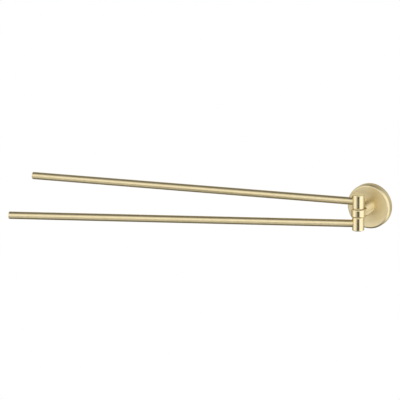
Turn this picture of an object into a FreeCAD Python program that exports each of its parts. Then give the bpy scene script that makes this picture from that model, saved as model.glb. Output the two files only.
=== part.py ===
import FreeCAD, Part
import math
import os

import Sketcher

# Swing arm towel bar, in millimetres. The origin is the centre of the rose's back, on the wall.
# +Z is up, the wall is the plane Y = 0 and the room is on the -Y side. The pivot stands upright at
# X = 0, Y = -pivot_reach, and the arms point to -X, swung a little away from the wall.

Vector = FreeCAD.Vector

# Driving sizes: name and value. Lengths in millimetres, angles in degrees.
SIZES = [
    # rose and the bracket that it hides
    ("rose_radius", 27.0),
    ("rose_depth", 10.0),
    ("rose_bevel", 1.8),
    ("rose_wall", 2.2),
    ("rose_face", 2.6),
    ("bracket_clearance", 0.3),
    ("bracket_plate", 2.0),
    ("bracket_rim", 2.2),
    ("bracket_depth", 6.2),
    ("slot_spacing", 28.0),
    ("slot_width", 4.6),
    ("slot_length", 8.0),
    # grub screw that holds the rose
    ("grub_radius", 2.0),
    ("grub_height", 4.4),
    ("grub_recess", 0.4),
    ("grub_socket_flats", 2.0),
    ("grub_socket_depth", 1.0),
    # neck and the screw that holds it to the rose
    ("neck_radius", 8.5),
    ("neck_spigot_radius", 5.0),
    ("neck_spigot_length", 2.2),
    ("neck_screw_radius", 3.0),
    ("neck_screw_length", 14.0),
    ("neck_screw_hole", 15.0),
    ("neck_head_radius", 5.25),
    ("neck_head_height", 2.8),
    ("neck_socket_flats", 4.0),
    ("neck_socket_depth", 1.8),
    # pivot, from the collar outwards
    ("pivot_reach", 40.0),
    ("collar_radius", 8.5),
    ("collar_height", 9.2),
    ("collar_edge_chamfer", 0.8),
    ("tongue_height", 7.4),
    ("shaft_radius", 2.5),
    ("friction_washer_radius", 6.0),
    ("friction_washer_thick", 0.4),
    ("hub_radius", 7.25),
    ("hub_height", 16.7),
    ("hub_edge_chamfer", 0.7),
    ("hub_floor", 10.7),
    ("hub_pocket_radius", 5.2),
    ("bush_wall", 1.25),
    ("bush_flange_radius", 4.9),
    ("bush_flange_thick", 0.6),
    ("spring_radius", 4.8),
    ("spring_thick", 0.75),
    ("nut_flats", 8.0),
    ("nut_height", 2.5),
    ("hub_cap_thick", 1.0),
    # arms
    ("arm_radius", 4.5),
    ("arm_wall", 0.9),
    ("arm_length", 421.7),
    ("end_cap_thick", 1.2),
    ("end_cap_plug", 6.0),
    ("upper_arm_angle", 6.0),
    ("lower_arm_angle", 19.0),
    # fits
    ("press_gap", 0.01),
    ("thread_gap", 0.02),
    ("braze_gap", 0.02),
    ("running_gap", 0.05),
    ("washer_gap", 0.15),
    ("shoulder_gap", 0.15),
    ("grub_tip_gap", 0.1),
    # how far a cutting outline runs past the material
    ("overshoot", 1.0),
]

doc = FreeCAD.newDocument("swing_arm_towel_bar")
sheet = doc.addObject("Spreadsheet::Sheet", "sizes")
for row, (alias, value) in enumerate(SIZES, start=1):
    sheet.set("A%d" % row, alias)
    sheet.set("B%d" % row, str(value))
    sheet.setAlias("B%d" % row, alias)
doc.recompute()

parts = []

# Lengths that several pieces share, as formulas of the sheet's cells.
COLLAR_HALF = "sizes.collar_height / 2"
HUB_START = "(%s + sizes.friction_washer_thick + sizes.running_gap)" % COLLAR_HALF
ARM_HEIGHT = "(%s + sizes.hub_height / 2)" % HUB_START
FLANGE_TOP = "(%s + sizes.hub_floor + sizes.bush_flange_thick)" % HUB_START
SPRING_START = "(%s + sizes.running_gap)" % FLANGE_TOP
NUT_START = "(%s + sizes.spring_thick)" % SPRING_START
SHAFT_END = "(%s + sizes.nut_height)" % NUT_START
CAP_START = "(%s + sizes.hub_height - sizes.hub_cap_thick)" % HUB_START
BUSH_RADIUS = "(sizes.shaft_radius + sizes.running_gap + sizes.bush_wall)"
BRACKET_RADIUS = "(sizes.rose_radius - sizes.rose_wall - sizes.bracket_clearance)"
NECK_SHOULDER = "(sizes.pivot_reach - sizes.collar_radius - sizes.shoulder_gap)"
ROSE_INSIDE = "(sizes.rose_depth - sizes.rose_face)"
TUBE_BORE = "(sizes.arm_radius - sizes.arm_wall)"

# Places: out from the wall (local Z is -Y), upright at the pivot, and along each resting arm.
OUT_FROM_WALL = "placement(vector(0; 0; 0); rotation(vector(1; 0; 0); 90))"


def at_pivot(height="0"):
    return "placement(vector(0; -sizes.pivot_reach; %s); rotation(vector(0; 0; 1); 0))" % height


def at_pivot_upside_down(height="0"):
    return "placement(vector(0; -sizes.pivot_reach; -%s); rotation(vector(1; 0; 0); 180))" % height


def on_upper_arm(height="0"):
    turn = "rotation(vector(0; 0; 1); 180 + sizes.upper_arm_angle)"
    return "placement(vector(0; -sizes.pivot_reach; %s); %s)" % (height, turn)


def on_lower_arm(height="0"):
    half = "(180 + sizes.lower_arm_angle) / 2"
    flip = "rotation(vector(cos(%s); sin(%s); 0); 180)" % (half, half)
    return "placement(vector(0; -sizes.pivot_reach; -%s); %s)" % (height, flip)


def size(formula):
    """The present value of a formula of the sheet's cells."""
    return float(sheet.evalExpression(str(formula).replace("sizes.", "")))


def new_part(label, place):
    part = doc.addObject("PartDesign::Body", label)
    part.Label = label
    part.setExpression("Placement", place)
    parts.append(part)
    return part


def new_sketch(part, name, role):
    """A sketch on one of the body's own origin planes."""
    plane = [item for item in part.Origin.OriginFeatures if item.Role == role][0]
    sketch = part.newObject("Sketcher::SketchObject", name)
    sketch.AttachmentSupport = [(plane, "")]
    sketch.MapMode = "FlatFace"
    return sketch


def pin_coordinate(sketch, kind, geometry, point, formula):
    """Hold one coordinate of a sketch point at a formula of the sheet's cells."""
    value = size(formula)
    if abs(value) < 1e-9:
        axis = -2 if kind == "DistanceX" else -1
        sketch.addConstraint(Sketcher.Constraint("PointOnObject", geometry, point, axis))
        return
    if value > 0:
        index = sketch.addConstraint(Sketcher.Constraint(kind, -1, 1, geometry, point, value))
        sketch.setExpression("Constraints[%d]" % index, str(formula))
    else:
        index = sketch.addConstraint(Sketcher.Constraint(kind, geometry, point, -1, 1, -value))
        sketch.setExpression("Constraints[%d]" % index, "-(%s)" % formula)


def draw_outline(sketch, corners):
    """A closed outline of straight lines, each corner held by a pair of formulas."""
    spots = [Vector(size(across), size(up), 0) for across, up in corners]
    first = sketch.GeometryCount
    count = len(corners)
    for number in range(count):
        line = Part.LineSegment(spots[number], spots[(number + 1) % count])
        sketch.addGeometry(line, False)
    for number in range(count):
        following = first + (number + 1) % count
        sketch.addConstraint(Sketcher.Constraint("Coincident", first + number, 2, following, 1))
    for number, (across, up) in enumerate(corners):
        pin_coordinate(sketch, "DistanceX", first + number, 1, across)
        pin_coordinate(sketch, "DistanceY", first + number, 1, up)


def draw_circle(sketch, across, up, radius):
    spot = Vector(size(across), size(up), 0)
    number = sketch.addGeometry(Part.Circle(spot, Vector(0, 0, 1), size(radius)), False)
    index = sketch.addConstraint(Sketcher.Constraint("Radius", number, size(radius)))
    sketch.setExpression("Constraints[%d]" % index, str(radius))
    pin_coordinate(sketch, "DistanceX", number, 3, across)
    pin_coordinate(sketch, "DistanceY", number, 3, up)


def draw_hexagon(sketch, flats):
    """A regular hexagon about the sketch's origin, with two corners on its X axis."""
    corner = "%s / sqrt(3)" % flats
    half = "%s / sqrt(3) / 2" % flats
    side = "%s / 2" % flats
    draw_outline(sketch, [
        (corner, "0"), (half, side), ("-" + half, side),
        ("-" + corner, "0"), ("-" + half, "-" + side), (half, "-" + side),
    ])


def draw_slot(sketch, centre, length, width):
    """A slot along the sketch's X axis: two straight sides and two round ends."""
    reach = "(%s - %s) / 2" % (length, width)
    left = "%s - %s" % (centre, reach)
    right = "%s + %s" % (centre, reach)
    radius = size(width) / 2
    ends = []
    for across, start in ((right, -90), (left, 90)):
        spot = Vector(size(across), 0, 0)
        circle = Part.Circle(spot, Vector(0, 0, 1), radius)
        arc = Part.ArcOfCircle(circle, math.radians(start), math.radians(start + 180))
        ends.append(sketch.addGeometry(arc, False))
    top = Part.LineSegment(Vector(size(right), radius, 0), Vector(size(left), radius, 0))
    bottom = Part.LineSegment(Vector(size(left), -radius, 0), Vector(size(right), -radius, 0))
    lines = [sketch.addGeometry(top, False), sketch.addGeometry(bottom, False)]
    for arc, point, line, end in (
        (ends[0], 2, lines[0], 1), (ends[1], 1, lines[0], 2),
        (ends[1], 2, lines[1], 1), (ends[0], 1, lines[1], 2),
    ):
        sketch.addConstraint(Sketcher.Constraint("Tangent", arc, point, line, end))
    pin_coordinate(sketch, "DistanceX", ends[0], 3, right)
    pin_coordinate(sketch, "DistanceY", ends[0], 3, "0")
    pin_coordinate(sketch, "DistanceX", ends[1], 3, left)
    pin_coordinate(sketch, "DistanceY", ends[1], 3, "0")
    index = sketch.addConstraint(Sketcher.Constraint("Radius", ends[0], radius))
    sketch.setExpression("Constraints[%d]" % index, "%s / 2" % width)


def turned(part, outline, axis="V_Axis", name="turning"):
    """A full revolution of an outline in the XZ plane, about local Z, or local X with H_Axis."""
    sketch = new_sketch(part, "%s_%s_outline" % (part.Label, name), "XZ_Plane")
    draw_outline(sketch, outline)
    feature = part.newObject("PartDesign::Revolution", "%s_%s" % (part.Label, name))
    feature.Profile = sketch
    feature.ReferenceAxis = (sketch, [axis])
    feature.Angle = 360
    doc.recompute()
    return feature


def cut_with(part, name, role, draw, depth, reverse=False, both_ways=False):
    """A pocket drawn on an origin plane. It has to take material away."""
    before = part.Shape.Volume
    sketch = new_sketch(part, "%s_%s_outline" % (part.Label, name), role)
    draw(sketch)
    pocket = part.newObject("PartDesign::Pocket", "%s_%s" % (part.Label, name))
    pocket.Profile = sketch
    pocket.setExpression("Length", depth)
    pocket.Reversed = reverse
    pocket.Midplane = both_ways
    doc.recompute()
    if not part.Shape.Volume < before - 1e-6:
        raise RuntimeError("%s takes nothing away" % pocket.Name)
    return pocket


def circle_edges(part, radius, height):
    """Names of the body's circular edges of one radius at one local height."""
    tip = part.Tip
    names = []
    for number, edge in enumerate(tip.Shape.Edges, start=1):
        curve = edge.Curve
        if not isinstance(curve, Part.Circle):
            continue
        if abs(curve.Radius - size(radius)) < 1e-4 and abs(curve.Center.z - size(height)) < 1e-4:
            names.append("Edge%d" % number)
    if not names:
        raise RuntimeError("%s has no edge of radius %s" % (part.Label, radius))
    return names


def chamfer_edges(part, name, chamfer_size, edges):
    """An even chamfer of the given edges of the body's last feature."""
    last = part.Tip
    feature = part.newObject("PartDesign::Chamfer", "%s_%s" % (part.Label, name))
    feature.Base = (last, edges)
    feature.setExpression("Size", chamfer_size)
    doc.recompute()
    return feature


def ring(label, place, inner, outer, thick):
    """A flat washer from local height 0."""
    part = new_part(label, place)
    turned(part, [(inner, "0"), (outer, "0"), (outer, thick), (inner, thick)])


# Rose: a turned cup with a bevelled face, a centre hole for the neck's spigot and a threaded hole
# for the grub screw low on its side.
rose = new_part("rose_cover", OUT_FROM_WALL)
bevel_start = "sizes.rose_depth - sizes.rose_bevel"
face_radius = "sizes.rose_radius - sizes.rose_bevel"
spigot_hole = "sizes.neck_spigot_radius + sizes.press_gap"
rose_bore = "sizes.rose_radius - sizes.rose_wall"
turned(rose, [
    ("sizes.rose_radius", "0"), ("sizes.rose_radius", bevel_start),
    (face_radius, "sizes.rose_depth"), (spigot_hole, "sizes.rose_depth"),
    (spigot_hole, ROSE_INSIDE), (rose_bore, ROSE_INSIDE), (rose_bore, "0"),
])
cut_with(
    rose, "grub_hole", "XZ_Plane",
    lambda sketch: draw_circle(sketch, "0", "sizes.grub_height", "sizes.grub_radius"),
    "sizes.rose_radius + sizes.overshoot", reverse=True,
)

# Wall bracket: a disc with a rim that the grub screw presses on, and two slots for wall screws.
bracket = new_part("wall_bracket", OUT_FROM_WALL)
rim_bore = "%s - sizes.bracket_rim" % BRACKET_RADIUS
turned(bracket, [
    ("0", "0"), (BRACKET_RADIUS, "0"), (BRACKET_RADIUS, "sizes.bracket_depth"),
    (rim_bore, "sizes.bracket_depth"), (rim_bore, "sizes.bracket_plate"),
    ("0", "sizes.bracket_plate"),
])
slot = cut_with(
    bracket, "screw_slot", "XY_Plane",
    lambda sketch: draw_slot(sketch, "sizes.slot_spacing / 2", "sizes.slot_length", "sizes.slot_width"),
    "sizes.bracket_plate + sizes.overshoot", reverse=True,
)
slots = bracket.newObject("PartDesign::PolarPattern", "wall_bracket_slots")
slots.Originals = [slot]
slots.Axis = (slot.Profile[0], ["N_Axis"])
slots.Angle = 360
slots.Occurrences = 2
bracket.Tip = slots
doc.recompute()

# Grub screw: it stands upright under the rose, flat point up, with a hexagon socket in its lower
# end.
grub_foot = "sizes.rose_radius - sizes.grub_recess"
grub_length = "(%s - %s - sizes.grub_tip_gap)" % (grub_foot, BRACKET_RADIUS)
grub_body = "sizes.grub_radius - sizes.thread_gap"
grub = new_part(
    "rose_grub_screw",
    "placement(vector(0; -sizes.grub_height; -(%s)); rotation(vector(0; 0; 1); 0))" % grub_foot,
)
turned(grub, [("0", "0"), (grub_body, "0"), (grub_body, grub_length), ("0", grub_length)])
cut_with(
    grub, "socket", "XY_Plane",
    lambda sketch: draw_hexagon(sketch, "sizes.grub_socket_flats"),
    "sizes.grub_socket_depth", reverse=True,
)

# Neck: a round bar. Flats leave a tongue at its outer end, coped to the collar. A spigot centres
# its wall end in the rose, and a threaded hole there takes the neck screw.
neck = new_part("neck_post", OUT_FROM_WALL)
spigot_start = "sizes.rose_depth - sizes.neck_spigot_length"
turned(neck, [
    ("0", spigot_start), ("sizes.neck_spigot_radius", spigot_start),
    ("sizes.neck_spigot_radius", "sizes.rose_depth"), ("sizes.neck_radius", "sizes.rose_depth"),
    ("sizes.neck_radius", "sizes.pivot_reach"), ("0", "sizes.pivot_reach"),
])
neck_past_end = "sizes.pivot_reach + sizes.overshoot"
for name, side in (("upper_flat", ""), ("lower_flat", "-")):
    flat = side + "sizes.tongue_height / 2"
    outside = side + "(sizes.neck_radius + sizes.overshoot)"
    cut_with(
        neck, name, "YZ_Plane",
        lambda sketch: draw_outline(sketch, [
            (flat, NECK_SHOULDER), (outside, NECK_SHOULDER),
            (outside, neck_past_end), (flat, neck_past_end),
        ]),
        "4 * sizes.neck_radius", both_ways=True,
    )
cut_with(
    neck, "cope", "XZ_Plane",
    lambda sketch: draw_circle(
        sketch, "0", "sizes.pivot_reach", "sizes.collar_radius + sizes.braze_gap"),
    "4 * sizes.neck_radius", both_ways=True,
)
cut_with(
    neck, "screw_hole", "XY_Plane",
    lambda sketch: draw_circle(sketch, "0", "0", "sizes.neck_screw_radius"),
    "%s + sizes.neck_screw_hole" % spigot_start, reverse=True,
)

# Neck screw, driven from inside the rose.
head_start = "(%s - sizes.neck_head_height)" % ROSE_INSIDE
neck_screw = new_part("neck_screw", OUT_FROM_WALL)
shank_radius = "sizes.neck_screw_radius - sizes.thread_gap"
shank_end = "%s + sizes.neck_screw_length" % ROSE_INSIDE
turned(neck_screw, [
    ("0", head_start), ("sizes.neck_head_radius", head_start),
    ("sizes.neck_head_radius", ROSE_INSIDE), (shank_radius, ROSE_INSIDE),
    (shank_radius, shank_end), ("0", shank_end),
])
cut_with(
    neck_screw, "socket", "XY_Plane",
    lambda sketch: draw_hexagon(sketch, "sizes.neck_socket_flats"),
    "%s + sizes.neck_socket_depth" % head_start, reverse=True,
)

# Collar: a ring with chamfered edges, brazed to the neck's tongue, with the shaft pressed in it.
collar = new_part("pivot_collar", at_pivot("-" + COLLAR_HALF))
collar_bore = "sizes.shaft_radius + sizes.press_gap"
turned(collar, [
    (collar_bore, "0"), ("sizes.collar_radius", "0"),
    ("sizes.collar_radius", "sizes.collar_height"), (collar_bore, "sizes.collar_height"),
])
collar_edges = circle_edges(collar, "sizes.collar_radius", "0")
collar_edges += circle_edges(collar, "sizes.collar_radius", "sizes.collar_height")
chamfer_edges(collar, "edges", "sizes.collar_edge_chamfer", collar_edges)

# Shaft: both hubs turn on it, and a nut is screwed on each end.
shaft = new_part("pivot_shaft", at_pivot("-" + SHAFT_END))
shaft_length = "2 * %s" % SHAFT_END
turned(shaft, [
    ("0", "0"), ("sizes.shaft_radius", "0"), ("sizes.shaft_radius", shaft_length),
    ("0", shaft_length),
])

# Each side of the collar has the same pieces, the lower ones upside down.
loose_bore = "sizes.shaft_radius + sizes.washer_gap"
for side, at_height, on_arm in (
    ("upper", at_pivot, on_upper_arm),
    ("lower", at_pivot_upside_down, on_lower_arm),
):
    # Thin plastic ring between the collar and the hub.
    ring(side + "_friction_washer", at_height(COLLAR_HALF),
         loose_bore, "sizes.friction_washer_radius", "sizes.friction_washer_thick")

    # Wave spring washer, pressed flat, and the thin nut that sets how hard it presses the hub.
    ring(side + "_spring_washer", at_height(SPRING_START),
         loose_bore, "sizes.spring_radius", "sizes.spring_thick")
    nut = new_part(side + "_lock_nut", at_height(NUT_START))
    nut_sketch = new_sketch(nut, side + "_lock_nut_outline", "XY_Plane")
    draw_hexagon(nut_sketch, "sizes.nut_flats")
    draw_circle(nut_sketch, "0", "0", "sizes.shaft_radius + sizes.thread_gap")
    nut_pad = nut.newObject("PartDesign::Pad", side + "_lock_nut_pad")
    nut_pad.Profile = nut_sketch
    nut_pad.setExpression("Length", "sizes.nut_height")
    doc.recompute()

    # Hub: a barrel with a bore for the bush and a wider pocket for the spring and the nut.
    hub = new_part(side + "_hub", on_arm(HUB_START))
    bush_bore = "%s + sizes.press_gap" % BUSH_RADIUS
    turned(hub, [
        (bush_bore, "0"), ("sizes.hub_radius", "0"), ("sizes.hub_radius", "sizes.hub_height"),
        ("sizes.hub_pocket_radius", "sizes.hub_height"),
        ("sizes.hub_pocket_radius", "sizes.hub_floor"), (bush_bore, "sizes.hub_floor"),
    ])
    hub_edges = circle_edges(hub, "sizes.hub_radius", "0")
    hub_edges += circle_edges(hub, "sizes.hub_radius", "sizes.hub_height")
    chamfer_edges(hub, "edges", "sizes.hub_edge_chamfer", hub_edges)

    # Bush: a flanged sleeve, pressed in the hub, that runs on the shaft.
    bush = new_part(side + "_bush", on_arm(HUB_START))
    bush_inner = "sizes.shaft_radius + sizes.running_gap"
    flange_end = "sizes.hub_floor + sizes.bush_flange_thick"
    turned(bush, [
        (bush_inner, "0"), (BUSH_RADIUS, "0"), (BUSH_RADIUS, "sizes.hub_floor"),
        ("sizes.bush_flange_radius", "sizes.hub_floor"),
        ("sizes.bush_flange_radius", flange_end), (bush_inner, flange_end),
    ])

    # Cap: a disc pressed flush in the hub's outer end.
    hub_cap = new_part(side + "_hub_cap", on_arm(CAP_START))
    cap_radius = "sizes.hub_pocket_radius - sizes.press_gap"
    turned(hub_cap, [
        ("0", "0"), (cap_radius, "0"), (cap_radius, "sizes.hub_cap_thick"),
        ("0", "sizes.hub_cap_thick"),
    ])

    # Arm tube: its inner end is coped to the hub's round side and brazed there.
    tube = new_part(side + "_arm_tube", on_arm(ARM_HEIGHT))
    tube_start = "sizes.hub_radius - sizes.arm_radius"
    tube_end = "sizes.arm_length - sizes.end_cap_thick"
    turned(tube, [
        (tube_start, TUBE_BORE), (tube_end, TUBE_BORE),
        (tube_end, "sizes.arm_radius"), (tube_start, "sizes.arm_radius"),
    ], axis="H_Axis")
    cut_with(
        tube, "cope", "XY_Plane",
        lambda sketch: draw_circle(sketch, "0", "0", "sizes.hub_radius + sizes.braze_gap"),
        "4 * sizes.arm_radius", both_ways=True,
    )

    # End cap: a disc as wide as the arm, with a plug pressed in the tube.
    end_cap = new_part(side + "_end_cap", on_arm(ARM_HEIGHT))
    plug_start = "%s - sizes.end_cap_plug" % tube_end
    plug_radius = "%s - sizes.press_gap" % TUBE_BORE
    turned(end_cap, [
        (plug_start, "0"), ("sizes.arm_length", "0"), ("sizes.arm_length", "sizes.arm_radius"),
        (tube_end, "sizes.arm_radius"),
        (tube_end, plug_radius), (plug_start, plug_radius),
    ], axis="H_Axis")

doc.recompute()

# Nothing is written unless every object computed and every piece is one sound solid.
for item in doc.Objects:
    for state in item.State:
        if state in ("Invalid", "Error"):
            raise RuntimeError("%s did not compute" % item.Name)
for part in parts:
    shape = part.Shape
    if shape.isNull() or not shape.isValid() or len(shape.Solids) != 1:
        raise RuntimeError("%s is not one valid solid" % part.Label)

os.makedirs("parts", exist_ok=True)
for part in parts:
    part.Shape.exportStep("parts/%s.step" % part.Label)
    box = part.Shape.BoundBox
    print("%-24s %9.1f mm3  X %.1f..%.1f  Y %.1f..%.1f  Z %.1f..%.1f" % (
        part.Label, part.Shape.Volume, box.XMin, box.XMax, box.YMin, box.YMax, box.ZMin, box.ZMax))
print("%d pieces written" % len(parts))
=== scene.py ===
import math

import bmesh
import bpy
import numpy as np
from mathutils import Matrix, Vector


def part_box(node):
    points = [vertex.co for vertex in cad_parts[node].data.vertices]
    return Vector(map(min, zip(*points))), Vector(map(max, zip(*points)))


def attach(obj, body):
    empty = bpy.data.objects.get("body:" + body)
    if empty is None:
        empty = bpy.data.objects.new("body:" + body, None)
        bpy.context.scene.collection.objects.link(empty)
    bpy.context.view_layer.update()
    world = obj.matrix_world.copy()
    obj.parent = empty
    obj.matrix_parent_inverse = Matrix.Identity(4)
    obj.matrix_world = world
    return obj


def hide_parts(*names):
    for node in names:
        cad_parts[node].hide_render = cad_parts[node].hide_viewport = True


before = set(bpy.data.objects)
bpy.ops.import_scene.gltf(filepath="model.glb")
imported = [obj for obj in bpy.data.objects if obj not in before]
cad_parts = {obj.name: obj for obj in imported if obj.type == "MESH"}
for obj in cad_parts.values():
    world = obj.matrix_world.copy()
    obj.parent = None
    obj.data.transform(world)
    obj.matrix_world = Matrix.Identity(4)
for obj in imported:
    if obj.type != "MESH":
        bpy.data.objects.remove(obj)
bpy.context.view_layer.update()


# ---- Rose ---------------------------------------------------------------------------------------
# The round cover on the wall: a brass cup turned on a lathe, brushed in rings round its middle and
# plated champagne gold. A grub screw under it goes through a small threaded hole in its side.

MM = 0.001
ROSE_BEVEL = 1.8
ROSE_EDGE = 1.3
ROSE_WALL = 2.2
ROSE_FACE = 2.6
ROSE_BACK_EDGE = 0.3
ROSE_HOLE = 5.01
GRUB_HOLE = 2.0
GRUB_HEIGHT = 4.4
ARC_STEPS = 10
ARC_GUARD = 0.06
SHARP_EDGE = math.radians(35)
MERGE_DISTANCE = 1e-7


def rounded(corners):
    """An outline of (across, along) points from corners of (across, along, radius), all in mm.

    An arc cuts off each corner. With u and v the directions to its two neighbours and b half the
    angle between them, it touches both sides at radius / tan(b), and its centre lies at
    radius / sin(b) along u + v. A guard point beside each end of the arc keeps the flats flat.
    """
    spots = np.array([corner[:2] for corner in corners], float)
    radii = [corner[2] for corner in corners]
    points = []
    corner_sets = zip(np.roll(spots, 1, 0), spots, np.roll(spots, -1, 0), radii)
    for before, spot, after, radius in corner_sets:
        if not radius:
            points.append(spot[None])
            continue
        u = (before - spot) / np.linalg.norm(before - spot)
        v = (after - spot) / np.linalg.norm(after - spot)
        half = math.acos(u @ v) / 2
        touch = radius / math.tan(half)
        centre = spot + (u + v) / np.linalg.norm(u + v) * radius / math.sin(half)
        first, last = spot + u * touch - centre, spot + v * touch - centre
        sweep = math.pi - 2 * half
        share = np.linspace(0, 1, ARC_STEPS + 1)[:, None]
        arc = (np.sin((1 - share) * sweep) * first + np.sin(share * sweep) * last) / math.sin(sweep)
        points.append((spot + u * (touch + ARC_GUARD))[None])
        points.append(centre + arc)
        points.append((spot + v * (touch + ARC_GUARD))[None])
    return np.concatenate(points)


def grid_piece(name, places, closed):
    """A mesh from a grid of places in mm, rows by columns. The rows wrap round, and where closed is
    true the columns do too. Doubled points are merged and faces are turned to point outwards."""
    rows, columns = places.shape[:2]
    last = columns if closed else columns - 1
    row, column = np.meshgrid(np.arange(rows), np.arange(last), indexing="ij")
    next_row, next_column = (row + 1) % rows, (column + 1) % columns
    faces = np.stack([
        row * columns + column, next_row * columns + column,
        next_row * columns + next_column, row * columns + next_column,
    ], axis=-1).reshape(-1, 4)
    mesh = bpy.data.meshes.new(name)
    mesh.from_pydata(places.reshape(-1, 3) * MM, [], faces)
    work = bmesh.new()
    work.from_mesh(mesh)
    bmesh.ops.remove_doubles(work, verts=work.verts, dist=MERGE_DISTANCE)
    bmesh.ops.recalc_face_normals(work, faces=work.faces)
    work.to_mesh(mesh)
    work.free()
    mesh.shade_smooth()
    mesh.set_sharp_from_angle(angle=SHARP_EDGE)
    piece = bpy.data.objects.new(name, mesh)
    bpy.context.scene.collection.objects.link(piece)
    return piece


def put(place, local):
    """Points of a piece's own frame, whose Z is its axis, moved to where the piece is."""
    return local @ np.array(place.to_3x3()).T + np.array(place.translation) / MM


def turned_piece(name, outline, place, closed, steps=160):
    """A lathe form: the outline's point (r, h) at angle t is (r cos t, r sin t, h) in the piece's
    own frame."""
    angle = np.linspace(0, 2 * math.pi, steps, endpoint=False)[:, None]
    r, h = outline[:, 0][None], outline[:, 1][None]
    local = np.stack([r * np.cos(angle), r * np.sin(angle), h + 0 * angle], axis=-1)
    return grid_piece(name, put(place, local), closed)


class Value:
    """A node socket that takes part in sums: an expression on values adds its Math nodes."""

    def __init__(self, nodes, made, output):
        self.nodes = nodes
        self.made = made
        self.socket = made.outputs[output]

    def output(self, name):
        return Value(self.nodes, self.made, name)

    def math(self, operation, other=0.0):
        return self.nodes.node("ShaderNodeMath", {"operation": operation}, {0: self, 1: other})

    def __add__(self, other):
        return self.math("ADD", other)

    def __sub__(self, other):
        return self.math("SUBTRACT", other)

    def __mul__(self, other):
        return self.math("MULTIPLY", other)

    def __truediv__(self, other):
        return self.math("DIVIDE", other)

    def __rsub__(self, other):
        return self * -1 + other

    def __rtruediv__(self, other):
        return self.math("POWER", -1.0) * other

    __radd__ = __add__
    __rmul__ = __mul__


# The colour a metal takes on where it is seen at a grazing angle.
EDGE_TINT = (0.95, 0.87, 0.62, 1)


class Nodes:
    """The node tree of one material or world. node() adds any node and gives its output."""

    def __init__(self, owner):
        owner.use_nodes = True
        self.tree = owner.node_tree
        self.tree.nodes.clear()

    def node(self, kind, settings=None, inputs=None, output=0):
        made = self.tree.nodes.new(kind)
        for name, value in (settings or {}).items():
            setattr(made, name, value)
        for name, value in (inputs or {}).items():
            if isinstance(value, Value):
                self.tree.links.new(value.socket, made.inputs[name])
            else:
                made.inputs[name].default_value = value
        return Value(self, made, output) if made.outputs else None

    def ramp(self, factor, low, high, low_value=0.0, high_value=1.0, course="LINEAR"):
        """Runs from low_value, where factor is low, to high_value, where it is high."""
        return self.node("ShaderNodeMapRange", {"interpolation_type": course}, {
            "Value": factor, "From Min": low, "From Max": high,
            "To Min": low_value, "To Max": high_value})

    def mixed(self, factor, low, high):
        """One colour that changes to another as factor goes from 0 to 1."""
        return self.node("ShaderNodeMix", {"data_type": "RGBA"}, {0: factor, 6: low, 7: high}, 2)

    def noise(self, vector, scale, detail=2.0):
        return self.node("ShaderNodeTexNoise", None, {
            "Vector": vector, "Scale": scale, "Detail": detail})

    def metal(self, colour, roughness, normal, stretch=0.0, turn=0.0):
        shader = self.node("ShaderNodeBsdfPrincipled", None, {
            "Base Color": colour, "Metallic": 1.0, "Roughness": roughness, "Normal": normal,
            "Anisotropic": stretch, "Anisotropic Rotation": turn, "Specular Tint": EDGE_TINT})
        self.node("ShaderNodeOutputMaterial", None, {"Surface": shader})


GOLD_LIGHT = (0.81, 0.70, 0.445, 1)
GOLD_DEEP = (0.76, 0.647, 0.39, 1)
ROSE_ROUGHNESS = 0.42
STROKES = 1600
STROKE_SPREAD = 1.3
BANDS = 110
BAND_SPREAD = 0.7


def brushed_gold(name, place, roughness, stretch=0.0, turn=0.0, lift=0.02):
    """Champagne-gold plating, brushed round the piece's own Z axis.

    The strokes are noise at (1.3 cos t, 1.3 sin t, 1600 (r + h)): slow round the piece and quick
    along its outline. They lift the surface by lift mm and vary its roughness. Both they and a
    broader noise, at (0.7 cos t, 0.7 sin t, 110 (r + h)), vary the colour. stretch draws the
    highlights out, and turn is how far their direction turns on the surface, in whole turns.
    """
    material = bpy.data.materials.new(name)
    nodes = Nodes(material)
    own = nodes.node("ShaderNodeMapping", {"vector_type": "TEXTURE"}, {
        "Vector": nodes.node("ShaderNodeTexCoord", output="Object"),
        "Location": place.translation, "Rotation": place.to_euler()})
    x = nodes.node("ShaderNodeSeparateXYZ", None, {0: own})
    y, h = x.output("Y"), x.output("Z")
    r = (x * x + y * y).math("SQRT").math("MAXIMUM", 1e-6)
    along = r + h
    strokes = nodes.node("ShaderNodeCombineXYZ", None, {
        "X": x / r * STROKE_SPREAD, "Y": y / r * STROKE_SPREAD, "Z": along * STROKES})
    bands = nodes.node("ShaderNodeCombineXYZ", None, {
        "X": x / r * BAND_SPREAD, "Y": y / r * BAND_SPREAD, "Z": along * BANDS})
    fine = nodes.noise(strokes, 1.0, 3.0)
    broad = nodes.noise(bands, 1.0)
    lifted = nodes.node("ShaderNodeBump", None, {
        "Strength": 1.0, "Distance": lift * MM, "Height": fine})
    nodes.metal(
        nodes.mixed(nodes.ramp(broad * 0.6 + fine * 0.4, 0.38, 0.62), GOLD_DEEP, GOLD_LIGHT),
        nodes.ramp(fine, 0.3, 0.7, roughness - 0.03, roughness + 0.04),
        lifted, stretch, turn)
    return material


def finish_piece(piece, material, body, node):
    piece.data.materials.append(material)
    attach(piece, body)
    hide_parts(node)


def drilled(piece, place, radius, depth):
    """The piece with a round hole: a cylinder about the place's Z is taken away from it."""
    half = depth / 2
    drill_outline = np.array([(0, -half), (radius, -half), (radius, half), (0, half)])
    drill = turned_piece("drill", drill_outline, place, closed=False, steps=48)
    cut = piece.modifiers.new("hole", "BOOLEAN")
    cut.operation = "DIFFERENCE"
    cut.object = drill
    bpy.context.view_layer.update()
    evaluated = piece.evaluated_get(bpy.context.evaluated_depsgraph_get())
    holed = bpy.data.meshes.new_from_object(evaluated)
    piece.modifiers.clear()
    piece.data = holed
    holed.set_sharp_from_angle(angle=SHARP_EDGE)
    bpy.data.objects.remove(drill)


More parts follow.
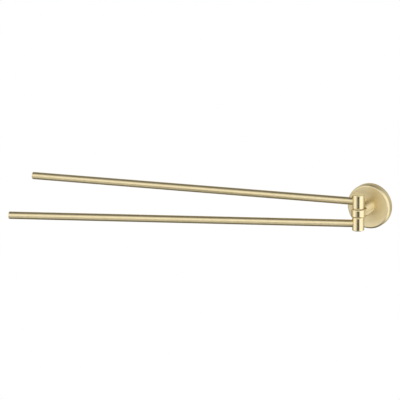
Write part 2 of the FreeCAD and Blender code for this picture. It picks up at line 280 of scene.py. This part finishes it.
rose_low, rose_high = (np.array(corner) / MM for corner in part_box("rose_cover"))
ROSE_RADIUS = rose_high[0]
ROSE_DEPTH = -rose_low[1]
OUT_FROM_WALL = Matrix.Rotation(math.radians(90), 4, "X")
rose_outline = rounded([
    (ROSE_RADIUS, 0, ROSE_BACK_EDGE), (ROSE_RADIUS, ROSE_DEPTH - ROSE_BEVEL, ROSE_EDGE),
    (ROSE_RADIUS - ROSE_BEVEL, ROSE_DEPTH, ROSE_EDGE), (ROSE_HOLE, ROSE_DEPTH, 0),
    (ROSE_HOLE, ROSE_DEPTH - ROSE_FACE, 0), (ROSE_RADIUS - ROSE_WALL, ROSE_DEPTH - ROSE_FACE, 0),
    (ROSE_RADIUS - ROSE_WALL, 0, 0),
])
rose = turned_piece("rose_brushed", rose_outline, OUT_FROM_WALL, closed=True, steps=256)
grub_spot = Matrix.Translation(Vector((0, -GRUB_HEIGHT, -ROSE_RADIUS)) * MM)
drilled(rose, grub_spot, GRUB_HOLE, 4 * ROSE_WALL)
rose_gold = brushed_gold("rose_gold", OUT_FROM_WALL, ROSE_ROUGHNESS)
finish_piece(rose, rose_gold, "wall_side", "rose_cover")


# ---- Bracket and screws in the rose -------------------------------------------------------------
# A zinc-plated steel disc that two screws hold on the wall, a black grub screw that clamps the
# rose to its rim, and the zinc-plated screw that pulls the neck against the rose's face.

def plated_steel(name, light, deep, roughness, grain=900.0):
    """Plated steel: a fine mottle of noise in its colour and roughness, lifted a little."""
    material = bpy.data.materials.new(name)
    nodes = Nodes(material)
    at = nodes.node("ShaderNodeTexCoord", output="Object")
    mottle = nodes.noise(at, grain, 4.0)
    cloud = nodes.noise(at, grain / 8)
    lifted = nodes.node("ShaderNodeBump", None, {
        "Strength": 0.15, "Distance": 0.0001, "Height": mottle})
    nodes.metal(
        nodes.mixed(nodes.ramp(cloud * 0.5 + mottle * 0.5, 0.35, 0.65), deep, light),
        nodes.ramp(mottle, 0.3, 0.7, roughness - 0.06, roughness + 0.06), lifted)
    return material


def dress(material, *names):
    """Gives CAD nodes that are right as they are a finished material."""
    for name in names:
        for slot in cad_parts[name].material_slots:
            slot.material = material


zinc_steel = plated_steel("zinc_plate", (0.70, 0.71, 0.72, 1), (0.58, 0.60, 0.62, 1), 0.34)
black_steel = plated_steel("black_oxide", (0.10, 0.10, 0.11, 1), (0.05, 0.05, 0.06, 1), 0.42)
dress(zinc_steel, "wall_bracket", "neck_screw")
dress(black_steel, "rose_grub_screw")


# ---- Neck ---------------------------------------------------------------------------------------
# A round brass bar that stands out from the rose. Its outer end is milled flat above and below to
# a tongue, and hollowed to fit the collar that is brazed to it.

NECK_SHOULDER_EDGE = 0.5
NECK_ROUGHNESS = 0.50
BRUSHED_STRETCH = 0.9
TONGUE_HALF = 3.7
SHOULDER_AT = 31.35
BRAZE_GAP = 0.02
FAR_ASIDE = 20

collar_low, collar_high = (np.array(corner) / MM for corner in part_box("pivot_collar"))
NECK_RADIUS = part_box("neck_post")[1].x / MM
PIVOT_REACH = -(collar_low[1] + collar_high[1]) / 2
COLLAR_RADIUS = collar_high[0]


def neck_places(columns=192):
    """The neck's places: lines that run out from the rose at angle t round the bar.

    A line above or below the tongue's flats draws in round the shoulder's edge, by a quarter
    circle, goes straight in to the flat at z = +-TONGUE_HALF, and on along it. Each line ends on
    the collar's cylinder, at y = reach - sqrt(R squared - x squared), and closes to its middle.
    """
    angle = np.linspace(0, 2 * math.pi, columns, endpoint=False)
    x, z = NECK_RADIUS * np.cos(angle), NECK_RADIUS * np.sin(angle)
    flat = np.abs(z) > TONGUE_HALF
    quarter = np.linspace(0, math.pi / 2, ARC_STEPS)
    lines = [(0 * x, 0 * z, 0 * x + ROSE_DEPTH), (x, z, 0 * x + ROSE_DEPTH),
             (x, z, 0 * x + SHOULDER_AT - NECK_SHOULDER_EDGE - ARC_GUARD)]
    for turn in quarter:
        drawn = 1 - np.where(flat, NECK_SHOULDER_EDGE * (1 - math.cos(turn)), 0) / NECK_RADIUS
        out = SHOULDER_AT - NECK_SHOULDER_EDGE * (1 - math.sin(turn))
        edge_z = np.where(flat, np.sign(z) * np.maximum(np.abs(z) * drawn, TONGUE_HALF), z)
        lines.append((x * drawn, edge_z, 0 * x + out))
    end_x = lines[-1][0]
    tongue_z = np.clip(z, -TONGUE_HALF, TONGUE_HALF)
    lines.append((end_x, tongue_z, 0 * x + SHOULDER_AT))
    bore = COLLAR_RADIUS + BRAZE_GAP
    end_y = PIVOT_REACH - np.sqrt(np.maximum(bore ** 2 - end_x ** 2, 0))
    lines.append((end_x, tongue_z, np.maximum(end_y, SHOULDER_AT)))
    lines.append((end_x, 0 * z, np.maximum(end_y, SHOULDER_AT)))
    return np.stack([np.stack([lx, -ly, lz], axis=-1) for lx, lz, ly in lines], axis=1)


neck = grid_piece("neck_brushed", neck_places(), closed=False)


def brushed_across(mesh, axis):
    """Sets the mesh's texture space so that its tangent runs along a level axis all over.

    The tangent is square to the line from the texture space's middle, so that middle is put far
    to one side of the piece.
    """
    mesh.use_auto_texspace = False
    mesh.texspace_location = Vector((-axis.y, axis.x, 0)) * FAR_ASIDE
    mesh.texspace_size = (1, 1, 1)


brushed_across(neck.data, Vector((0, 1, 0)))
neck_gold = brushed_gold("neck_gold", OUT_FROM_WALL, NECK_ROUGHNESS, stretch=BRUSHED_STRETCH)
finish_piece(neck, neck_gold, "wall_side", "neck_post")


# ---- Collar and the pivot inside it -------------------------------------------------------------
# A rounded brass ring, brushed round and plated, between the two hubs. A steel shaft is pressed in
# it, with a nylon ring, a spring washer and a thin nut at each side to hold the hubs with friction.

COLLAR_EDGE = 1.15
SHAFT_HOLE = 2.51
BARREL_ROUGHNESS = 0.12
BARREL_LIFT = 0.01
QUARTER_TURN = 0.25

PIVOT = Matrix.Translation((0, -PIVOT_REACH * MM, 0))
collar_outline = rounded([
    (SHAFT_HOLE, collar_low[2], 0), (COLLAR_RADIUS, collar_low[2], COLLAR_EDGE),
    (COLLAR_RADIUS, collar_high[2], COLLAR_EDGE), (SHAFT_HOLE, collar_high[2], 0),
])
collar = turned_piece("collar_brushed", collar_outline, PIVOT, closed=True)
collar_gold = brushed_gold(
    "collar_gold", PIVOT, BARREL_ROUGHNESS, BRUSHED_STRETCH, QUARTER_TURN, BARREL_LIFT)
finish_piece(collar, collar_gold, "wall_side", "pivot_collar")


def nylon(name):
    """Natural nylon: off-white, waxy and faintly cloudy."""
    material = bpy.data.materials.new(name)
    nodes = Nodes(material)
    at = nodes.node("ShaderNodeTexCoord", output="Object")
    cloud = nodes.noise(at, 350.0, 3.0)
    lifted = nodes.node("ShaderNodeBump", None, {
        "Strength": 0.1, "Distance": 0.0001, "Height": cloud})
    shader = nodes.node("ShaderNodeBsdfPrincipled", None, {
        "Base Color": nodes.mixed(cloud, (0.80, 0.78, 0.71, 1), (0.88, 0.87, 0.82, 1)),
        "Roughness": nodes.ramp(cloud, 0.3, 0.7, 0.45, 0.58), "Normal": lifted})
    nodes.node("ShaderNodeOutputMaterial", None, {"Surface": shader})
    return material


white_nylon = nylon("white_nylon")
dress(zinc_steel, "pivot_shaft", "upper_spring_washer", "lower_spring_washer",
      "upper_lock_nut", "lower_lock_nut")
dress(white_nylon, "upper_friction_washer", "lower_friction_washer", "upper_bush", "lower_bush")


# ---- Hubs and their caps ------------------------------------------------------------------------
# Two brass barrels that turn on the shaft above and below the collar, brushed round and plated.
# Each has a pocket for its nut, closed by a disc that is pressed in flush.

HUB_INNER_EDGE = 1.15
HUB_OUTER_EDGE = {"upper": 0.6, "lower": 1.2}
BUSH_HOLE = 3.81
POCKET_RADIUS = 5.2
POCKET_MOUTH = 0.12
HUB_FLOOR = 10.7
CAP_GAP = 0.01
CAP_THICK = 1.0
CAP_EDGE = 0.2

FLIP = Matrix.Rotation(math.pi, 4, "X")
for side in ("upper", "lower"):
    hub_low, hub_high = (np.array(corner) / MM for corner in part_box(side + "_hub"))
    hub_radius = hub_high[0]
    hub_start = min(abs(hub_low[2]), abs(hub_high[2]))
    hub_end = max(abs(hub_low[2]), abs(hub_high[2]))
    place = PIVOT if side == "upper" else PIVOT @ FLIP
    outline = rounded([
        (BUSH_HOLE, hub_start, 0), (hub_radius, hub_start, HUB_INNER_EDGE),
        (hub_radius, hub_end, HUB_OUTER_EDGE[side]), (POCKET_RADIUS, hub_end, POCKET_MOUTH),
        (POCKET_RADIUS, hub_start + HUB_FLOOR, 0), (BUSH_HOLE, hub_start + HUB_FLOOR, 0),
    ])
    hub_gold = brushed_gold(
        side + "_hub_gold", place, BARREL_ROUGHNESS, BRUSHED_STRETCH, QUARTER_TURN, BARREL_LIFT)
    hub = turned_piece(side + "_hub_brushed", outline, place, closed=True)
    finish_piece(hub, hub_gold, side + "_arm", side + "_hub")
    cap_radius = POCKET_RADIUS - CAP_GAP
    cap_outline = rounded([
        (0, hub_end - CAP_THICK, 0), (cap_radius, hub_end - CAP_THICK, 0),
        (cap_radius, hub_end, CAP_EDGE), (0, hub_end, 0),
    ])
    cap = turned_piece(side + "_hub_cap_brushed", cap_outline, place, closed=False)
    finish_piece(cap, hub_gold, side + "_arm", side + "_hub_cap")


# ---- Arms and their end caps --------------------------------------------------------------------
# Thin brass tubes, brushed and plated, hollowed at one end to fit the hub they are brazed to. A
# turned plug closes the free end.

ARM_LENGTH = 421.7
ARM_HEADING = {"upper": 186.0, "lower": 199.0}
TUBE_BORE = 3.6
TUBE_END_EDGE = 0.1
END_CAP_THICK = 1.2
END_CAP_EDGE = 0.45
PLUG_LENGTH = 6.0
PLUG_RADIUS = 3.59
ARM_ROUGHNESS = 0.42
ARM_STRETCH = 1.0


def tube_places(place, radius, bore, hub_side, end, steps=128):
    """A tube about local Z. Its (r, h) outline runs up the outer wall, over the end and back down
    the bore, and both walls start on the hub: h = sqrt(hub_side squared - (r sin t) squared)."""
    outline = rounded([(radius, 0, 0), (radius, end, TUBE_END_EDGE), (bore, end, 0), (bore, 0, 0)])
    angle = np.linspace(0, 2 * math.pi, steps, endpoint=False)[:, None]
    r, h = outline[:, 0][None], outline[:, 1][None]
    h = np.maximum(h, np.sqrt(hub_side ** 2 - (r * np.sin(angle)) ** 2))
    return put(place, np.stack([r * np.cos(angle), r * np.sin(angle), h], axis=-1))


for side in ("upper", "lower"):
    tube_low, tube_high = (np.array(corner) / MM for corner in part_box(side + "_arm_tube"))
    heading = math.radians(ARM_HEADING[side])
    level = Matrix.Translation((0, -PIVOT_REACH * MM, (tube_low[2] + tube_high[2]) / 2 * MM))
    along_arm = level @ Matrix.Rotation(heading, 4, "Z") @ Matrix.Rotation(math.pi / 2, 4, "Y")
    arm_radius = (tube_high[2] - tube_low[2]) / 2
    arm_gold = brushed_gold(side + "_arm_gold", along_arm, ARM_ROUGHNESS, ARM_STRETCH)
    hub_side = (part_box(side + "_hub")[1].x) / MM + BRAZE_GAP
    places = tube_places(along_arm, arm_radius, TUBE_BORE, hub_side, ARM_LENGTH - END_CAP_THICK)
    tube = grid_piece(side + "_arm_brushed", places, closed=True)
    brushed_across(tube.data, Vector((math.cos(heading), math.sin(heading), 0)))
    finish_piece(tube, arm_gold, side + "_arm", side + "_arm_tube")
    plug_outline = rounded([
        (0, ARM_LENGTH, 0), (arm_radius, ARM_LENGTH, END_CAP_EDGE),
        (arm_radius, ARM_LENGTH - END_CAP_THICK, TUBE_END_EDGE),
        (PLUG_RADIUS, ARM_LENGTH - END_CAP_THICK, 0),
        (PLUG_RADIUS, ARM_LENGTH - END_CAP_THICK - PLUG_LENGTH, 0),
        (0, ARM_LENGTH - END_CAP_THICK - PLUG_LENGTH, 0),
    ])
    plug = turned_piece(side + "_end_cap_brushed", plug_outline, along_arm, closed=False, steps=128)
    finish_piece(plug, arm_gold, side + "_arm", side + "_end_cap")


# ---- Camera -------------------------------------------------------------------------------------
# The photograph's view: a long lens from the right and a little above, fitted to the rose's
# outline, the hubs' lean and both arms. The collar's middle lies at PIVOT_IN_PICTURE.

PICTURE = 400
FOCAL_LENGTH = 2280.0
CAMERA_DISTANCE = 2696.9
CAMERA_AZIMUTH = math.radians(26.666)
CAMERA_ELEVATION = math.radians(14.127)
CAMERA_ROLL = math.radians(-0.58)
PIVOT_IN_PICTURE = (358.295, 212.534)
SENSOR = 36.0
CLIP_NEAR = 0.05
CLIP_FAR = 60

back = Vector((
    math.sin(CAMERA_AZIMUTH) * math.cos(CAMERA_ELEVATION),
    -math.cos(CAMERA_AZIMUTH) * math.cos(CAMERA_ELEVATION), math.sin(CAMERA_ELEVATION)))
level_right = Vector((math.cos(CAMERA_AZIMUTH), math.sin(CAMERA_AZIMUTH), 0))
level_up = back.cross(level_right)
right = level_right * math.cos(CAMERA_ROLL) + level_up * math.sin(CAMERA_ROLL)
up = level_up * math.cos(CAMERA_ROLL) - level_right * math.sin(CAMERA_ROLL)
pixel = CAMERA_DISTANCE / FOCAL_LENGTH
spot = (Vector((0, -PIVOT_REACH, 0)) + back * CAMERA_DISTANCE
        - right * (PIVOT_IN_PICTURE[0] - PICTURE / 2) * pixel
        + up * (PIVOT_IN_PICTURE[1] - PICTURE / 2) * pixel)
lens = bpy.data.cameras.new("camera")
lens.sensor_width = SENSOR
lens.lens = SENSOR * FOCAL_LENGTH / PICTURE
lens.clip_start = CLIP_NEAR
lens.clip_end = CLIP_FAR
camera = bpy.data.objects.new("camera", lens)
facing_along = Matrix((right, up, back)).transposed().to_4x4()
camera.matrix_world = Matrix.Translation(spot * MM) @ facing_along
bpy.context.scene.collection.objects.link(camera)
bpy.context.scene.camera = camera


# ---- Studio -------------------------------------------------------------------------------------
# A white room with a pale floor, bright along the horizon and dim overhead, with a narrow dark gap
# low under the camera and more light low on the right. Its brightness was set to suit the
# photograph. One soft lamp, which no reflection shows, lights the pieces that aren't metal.

bpy.context.scene.view_settings.view_transform = "Standard"
FLOOR_DROP = 4.0
FLOOR_SIZE = 400.0
WHITE = (1, 1, 1, 1)
PALE = (0.86, 0.86, 0.86, 1)
ROOM_REAR = 0.78
FLOOR_REAR = 0.34
REAR_POWER = 5.0
REAR_LEAST = 0.06
LEAST = 0.08
# Where a ramp starts and ends: in the sine of the height, in facing, or in beside.
BAND_RISE = (-1.15, -0.1)
BAND_FALL = (0.55, 1.0)
FRONT_FACING = (-0.7, 0.45)
FRONT_LEVELS = (0.45, 1.38)
FRONT_SHARE = (-0.95, -0.4)
GAP_FACING = (0.2, 0.5)
GAP_LEFT = (-0.95, -0.25)
GAP_RIGHT = (0.12, 0.5)
GAP_BOTTOM = (-0.44, -0.34)
GAP_TOP = (-0.16, -0.06)
LOW_BESIDE = (0.3, 0.9)
LOW_BOTTOM = (-0.9, -0.7)
LOW_TOP = (-0.6, -0.35)
LOW_STRENGTH = 1.3
LAMP_SIZE = 1.5
LAMP_ENERGY = 8
LAMP_PLACE = (-1.2, -1.8, 1.4)
ahead = Vector((math.sin(CAMERA_AZIMUTH), -math.cos(CAMERA_AZIMUTH), 0))


def room_glow(nodes, x, y, z, rear):
    """How bright the room is towards (x, y, z), a direction of length 1.

    facing is 1 towards the camera's side and -1 away from it, and beside is 1 on its right. In
    front the room is a wide band about the horizon, with a dark gap in it, and there is more
    light low on the right. Behind the object it is rear times the cosine of the height angle to
    the power 5, and a little more.
    """
    flat = (x * x + y * y).math("SQRT").math("MAXIMUM", 1e-4)
    facing = (x * ahead.x + y * ahead.y) / flat
    beside = (x * level_right.x + y * level_right.y) / flat
    band = (nodes.ramp(z, *BAND_RISE, course="SMOOTHSTEP")
            - nodes.ramp(z, *BAND_FALL, course="SMOOTHSTEP"))
    front = band * nodes.ramp(facing, *FRONT_FACING, *FRONT_LEVELS, "SMOOTHSTEP")
    behind = flat.math("POWER", REAR_POWER) * rear + REAR_LEAST
    share = nodes.ramp(facing, *FRONT_SHARE, course="SMOOTHSTEP")
    gap = (nodes.ramp(facing, *GAP_FACING)
           * nodes.ramp(beside, *GAP_LEFT) * nodes.ramp(beside, *GAP_RIGHT, 1, 0)
           * nodes.ramp(z, *GAP_BOTTOM) * nodes.ramp(z, *GAP_TOP, 1, 0))
    low_right = (nodes.ramp(beside, *LOW_BESIDE) * nodes.ramp(z, *LOW_BOTTOM)
                 * nodes.ramp(z, *LOW_TOP, LOW_STRENGTH, 0))
    return (front * share + behind * (1 - share) + LEAST) * (1 - gap) + low_right


world = bpy.data.worlds.new("studio")
bpy.context.scene.world = world
room = Nodes(world)
x = room.node("ShaderNodeSeparateXYZ", None, {
    0: room.node("ShaderNodeTexCoord", output="Generated")})
rays = room.node("ShaderNodeLightPath")
room.node("ShaderNodeOutputWorld", None, {"Surface": room.node("ShaderNodeMixShader", None, {
    0: rays.output("Is Camera Ray"),
    1: room.node("ShaderNodeBackground", None, {
        "Color": WHITE,
        "Strength": room_glow(room, x, x.output("Y"), x.output("Z"), ROOM_REAR)}),
    2: room.node("ShaderNodeBackground", None, {"Color": WHITE, "Strength": 1.0}),
})})

floor_edge = FLOOR_SIZE / 2
floor_mesh = bpy.data.meshes.new("floor")
floor_mesh.from_pydata([
    (-floor_edge, -floor_edge, -FLOOR_DROP), (floor_edge, -floor_edge, -FLOOR_DROP),
    (floor_edge, floor_edge, -FLOOR_DROP), (-floor_edge, floor_edge, -FLOOR_DROP),
], [], [(0, 1, 2, 3)])
floor = bpy.data.objects.new("floor", floor_mesh)
bpy.context.scene.collection.objects.link(floor)
pale = bpy.data.materials.new("pale_floor")
ground = Nodes(pale)
x = ground.node("ShaderNodeSeparateXYZ", None, {
    0: ground.node("ShaderNodeTexCoord", output="Object")})
y = x.output("Y")
reach = (x * x + y * y + FLOOR_DROP ** 2).math("SQRT")
rays = ground.node("ShaderNodeLightPath")
glossy = rays.output("Is Glossy Ray").math("MAXIMUM", rays.output("Is Transmission Ray"))
plain = ground.node("ShaderNodeBsdfDiffuse", None, {"Color": PALE})
shown = ground.node("ShaderNodeEmission", None, {"Color": WHITE, "Strength": 1.0})
mirrored = ground.node("ShaderNodeEmission", None, {
    "Color": WHITE,
    "Strength": room_glow(ground, x / reach, y / reach, -FLOOR_DROP / reach, FLOOR_REAR)})
ground.node("ShaderNodeOutputMaterial", None, {"Surface": ground.node("ShaderNodeMixShader", None, {
    0: rays.output("Is Camera Ray"),
    1: ground.node("ShaderNodeMixShader", None, {0: glossy, 1: plain, 2: mirrored}),
    2: shown,
})})
floor_mesh.materials.append(pale)

lamp_data = bpy.data.lights.new("soft_lamp", "AREA")
lamp_data.shape = "DISK"
lamp_data.size = LAMP_SIZE
lamp_data.energy = LAMP_ENERGY
lamp = bpy.data.objects.new("soft_lamp", lamp_data)
lamp.visible_glossy = False
lamp.location = LAMP_PLACE
lamp.rotation_mode = "QUATERNION"
lamp.rotation_quaternion = (-lamp.location).to_track_quat("-Z", "Y")
bpy.context.scene.collection.objects.link(lamp)
